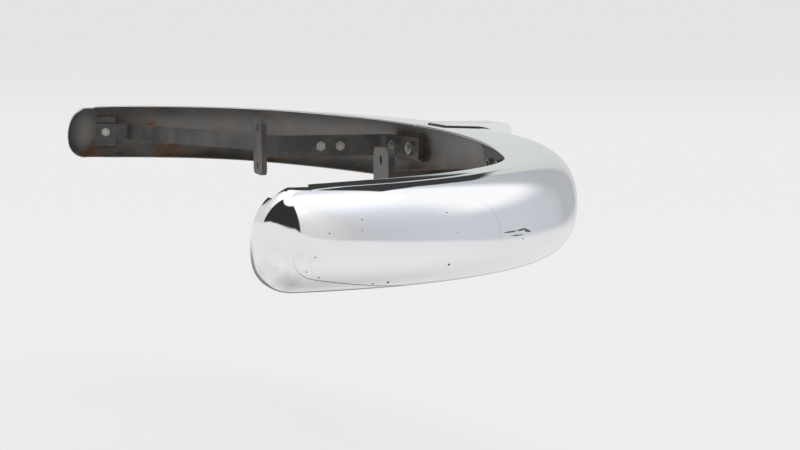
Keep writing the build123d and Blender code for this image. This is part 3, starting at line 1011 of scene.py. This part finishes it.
glint_off = math_node(tree, "SUBTRACT", math_node(tree, "MULTIPLY", glint_share, widest_turn), signed)
dark = math_node(tree, "MULTIPLY", smooth_step(tree, dark_off, -dark_soft, dark_soft),
                 smooth_step(tree, signed, *dark_first))
dark = math_node(tree, "MULTIPLY", dark, between(tree, height, *dark_heights, 1.0))
glint = between(tree, glint_off, -glint_half, glint_half, glint_soft)
dark = math_node(tree, "SUBTRACT", dark, math_node(tree, "MULTIPLY", dark, glint))
wall_level = mix_value(tree, dark, wall_level, dark_level)
floor_level = math_node(tree, "MULTIPLY", ramp(tree, height, -90, 90, floor_by_height),
                        ramp(tree, turn, 0, 360, floor_by_turn))
shaded = math_node(tree, "MULTIPLY", floor_level, ramp(tree, turn, 0, 360, shade_by_turn))
floor_level = mix_value(tree, between(tree, height, *shade_heights, 5.0), floor_level, shaded)
foot_share = ramp(tree, turn, 0, 360,
                  [(place, (line - foot_low) / foot_span) for place, line in foot_by_turn])
foot = math_node(tree, "MULTIPLY_ADD", foot_share, foot_span)
foot.node.inputs[2].default_value = foot_low
above = smooth_step(tree, math_node(tree, "SUBTRACT", height, foot), -foot_soft, foot_soft)
seam_share = ramp(tree, height, -10, 40,
                  [(place, (line - seam_low) / seam_span) for place, line in seam_by_height])
seam_off = math_node(tree, "SUBTRACT", math_node(tree, "SUBTRACT", turn, seam_low),
                     math_node(tree, "MULTIPLY", seam_share, seam_span))
seam = math_node(tree, "MULTIPLY", between(tree, seam_off, -seam_half, seam_half, seam_soft),
                 between(tree, height, *seam_heights, 1.0))
level = mix_value(tree, above, floor_level, wall_level)
level = mix_value(tree, math_node(tree, "MULTIPLY", seam, seam_depth), level, 0.0)
blue = smooth_step(tree, math_node(tree, "SUBTRACT", 1.0, bank), 0.0, 1.0)
wall_tint = mix_color(tree, blue, bank_tint, cool_tint)
wall_tint = mix_color(tree, smooth_step(tree, turn, 28.0, 29.0), green_tint, wall_tint)
wall_tint = mix_color(tree, smooth_step(tree, turn, 138, 152), wall_tint, warm_tint)
tint = mix_color(tree, above, floor_tint, wall_tint)
tinted = tree.nodes.new("ShaderNodeVectorMath")
tinted.operation = "SCALE"
link(tree, tint, tinted.inputs[0])
link(tree, level, tinted.inputs["Scale"])
glow = tree.nodes.new("ShaderNodeBackground")
link(tree, tinted.outputs[0], glow.inputs["Color"])
plain = tree.nodes.new("ShaderNodeBackground")
plain.inputs["Color"].default_value = grey(far_tone)
path = tree.nodes.new("ShaderNodeLightPath")
pick = tree.nodes.new("ShaderNodeMixShader")
link(tree, path.outputs["Is Camera Ray"], pick.inputs["Fac"])
link(tree, glow.outputs[0], pick.inputs[1])
link(tree, plain.outputs[0], pick.inputs[2])
out = tree.nodes.new("ShaderNodeOutputWorld")
link(tree, pick.outputs[0], out.inputs["Surface"])

# Floor joint. A thin dark straight joint in the studio's floor, which the end of the bar mirrors.
# The camera itself doesn't see it.
joint_rise = 0.001
joint_tone = 0.01
joint_ends = ((-0.60, -3.30), (0.70, 2.30))
joint_half_width = 0.0035
joint_paint, tree, shader = new_material("joint_paint")
shader.inputs["Base Color"].default_value = grey(joint_tone)
shader.inputs["Roughness"].default_value = 1.0
corners = [(x + offset, y, joint_rise - floor_drop) for (x, y), offsets in
           zip(joint_ends, ((-joint_half_width, joint_half_width), (joint_half_width, -joint_half_width)))
           for offset in offsets]
joint = card("floor_joint", corners, [(0, 1, 2, 3)], joint_paint)
joint.visible_camera = False
joint.visible_shadow = False
joint.visible_diffuse = False

# Camera. It stands behind and outside the right-hand end of the bumper, a little above it,
# and looks forward along the corner.
camera_place = (-0.505, -2.272, 0.1635)
camera_yaw = math.radians(15.41)
camera_tilt = math.radians(6.0)
camera_data = bpy.data.cameras.new("camera")
camera_data.sensor_width = 36.0
camera_data.lens = 80.7
camera = bpy.data.objects.new("camera", camera_data)
camera.location = camera_place
camera.rotation_euler = (math.radians(90.0) - camera_tilt, 0.0, -camera_yaw)
scene.collection.objects.link(camera)
scene.camera = camera
scene.view_settings.view_transform = "Standard"

low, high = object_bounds()
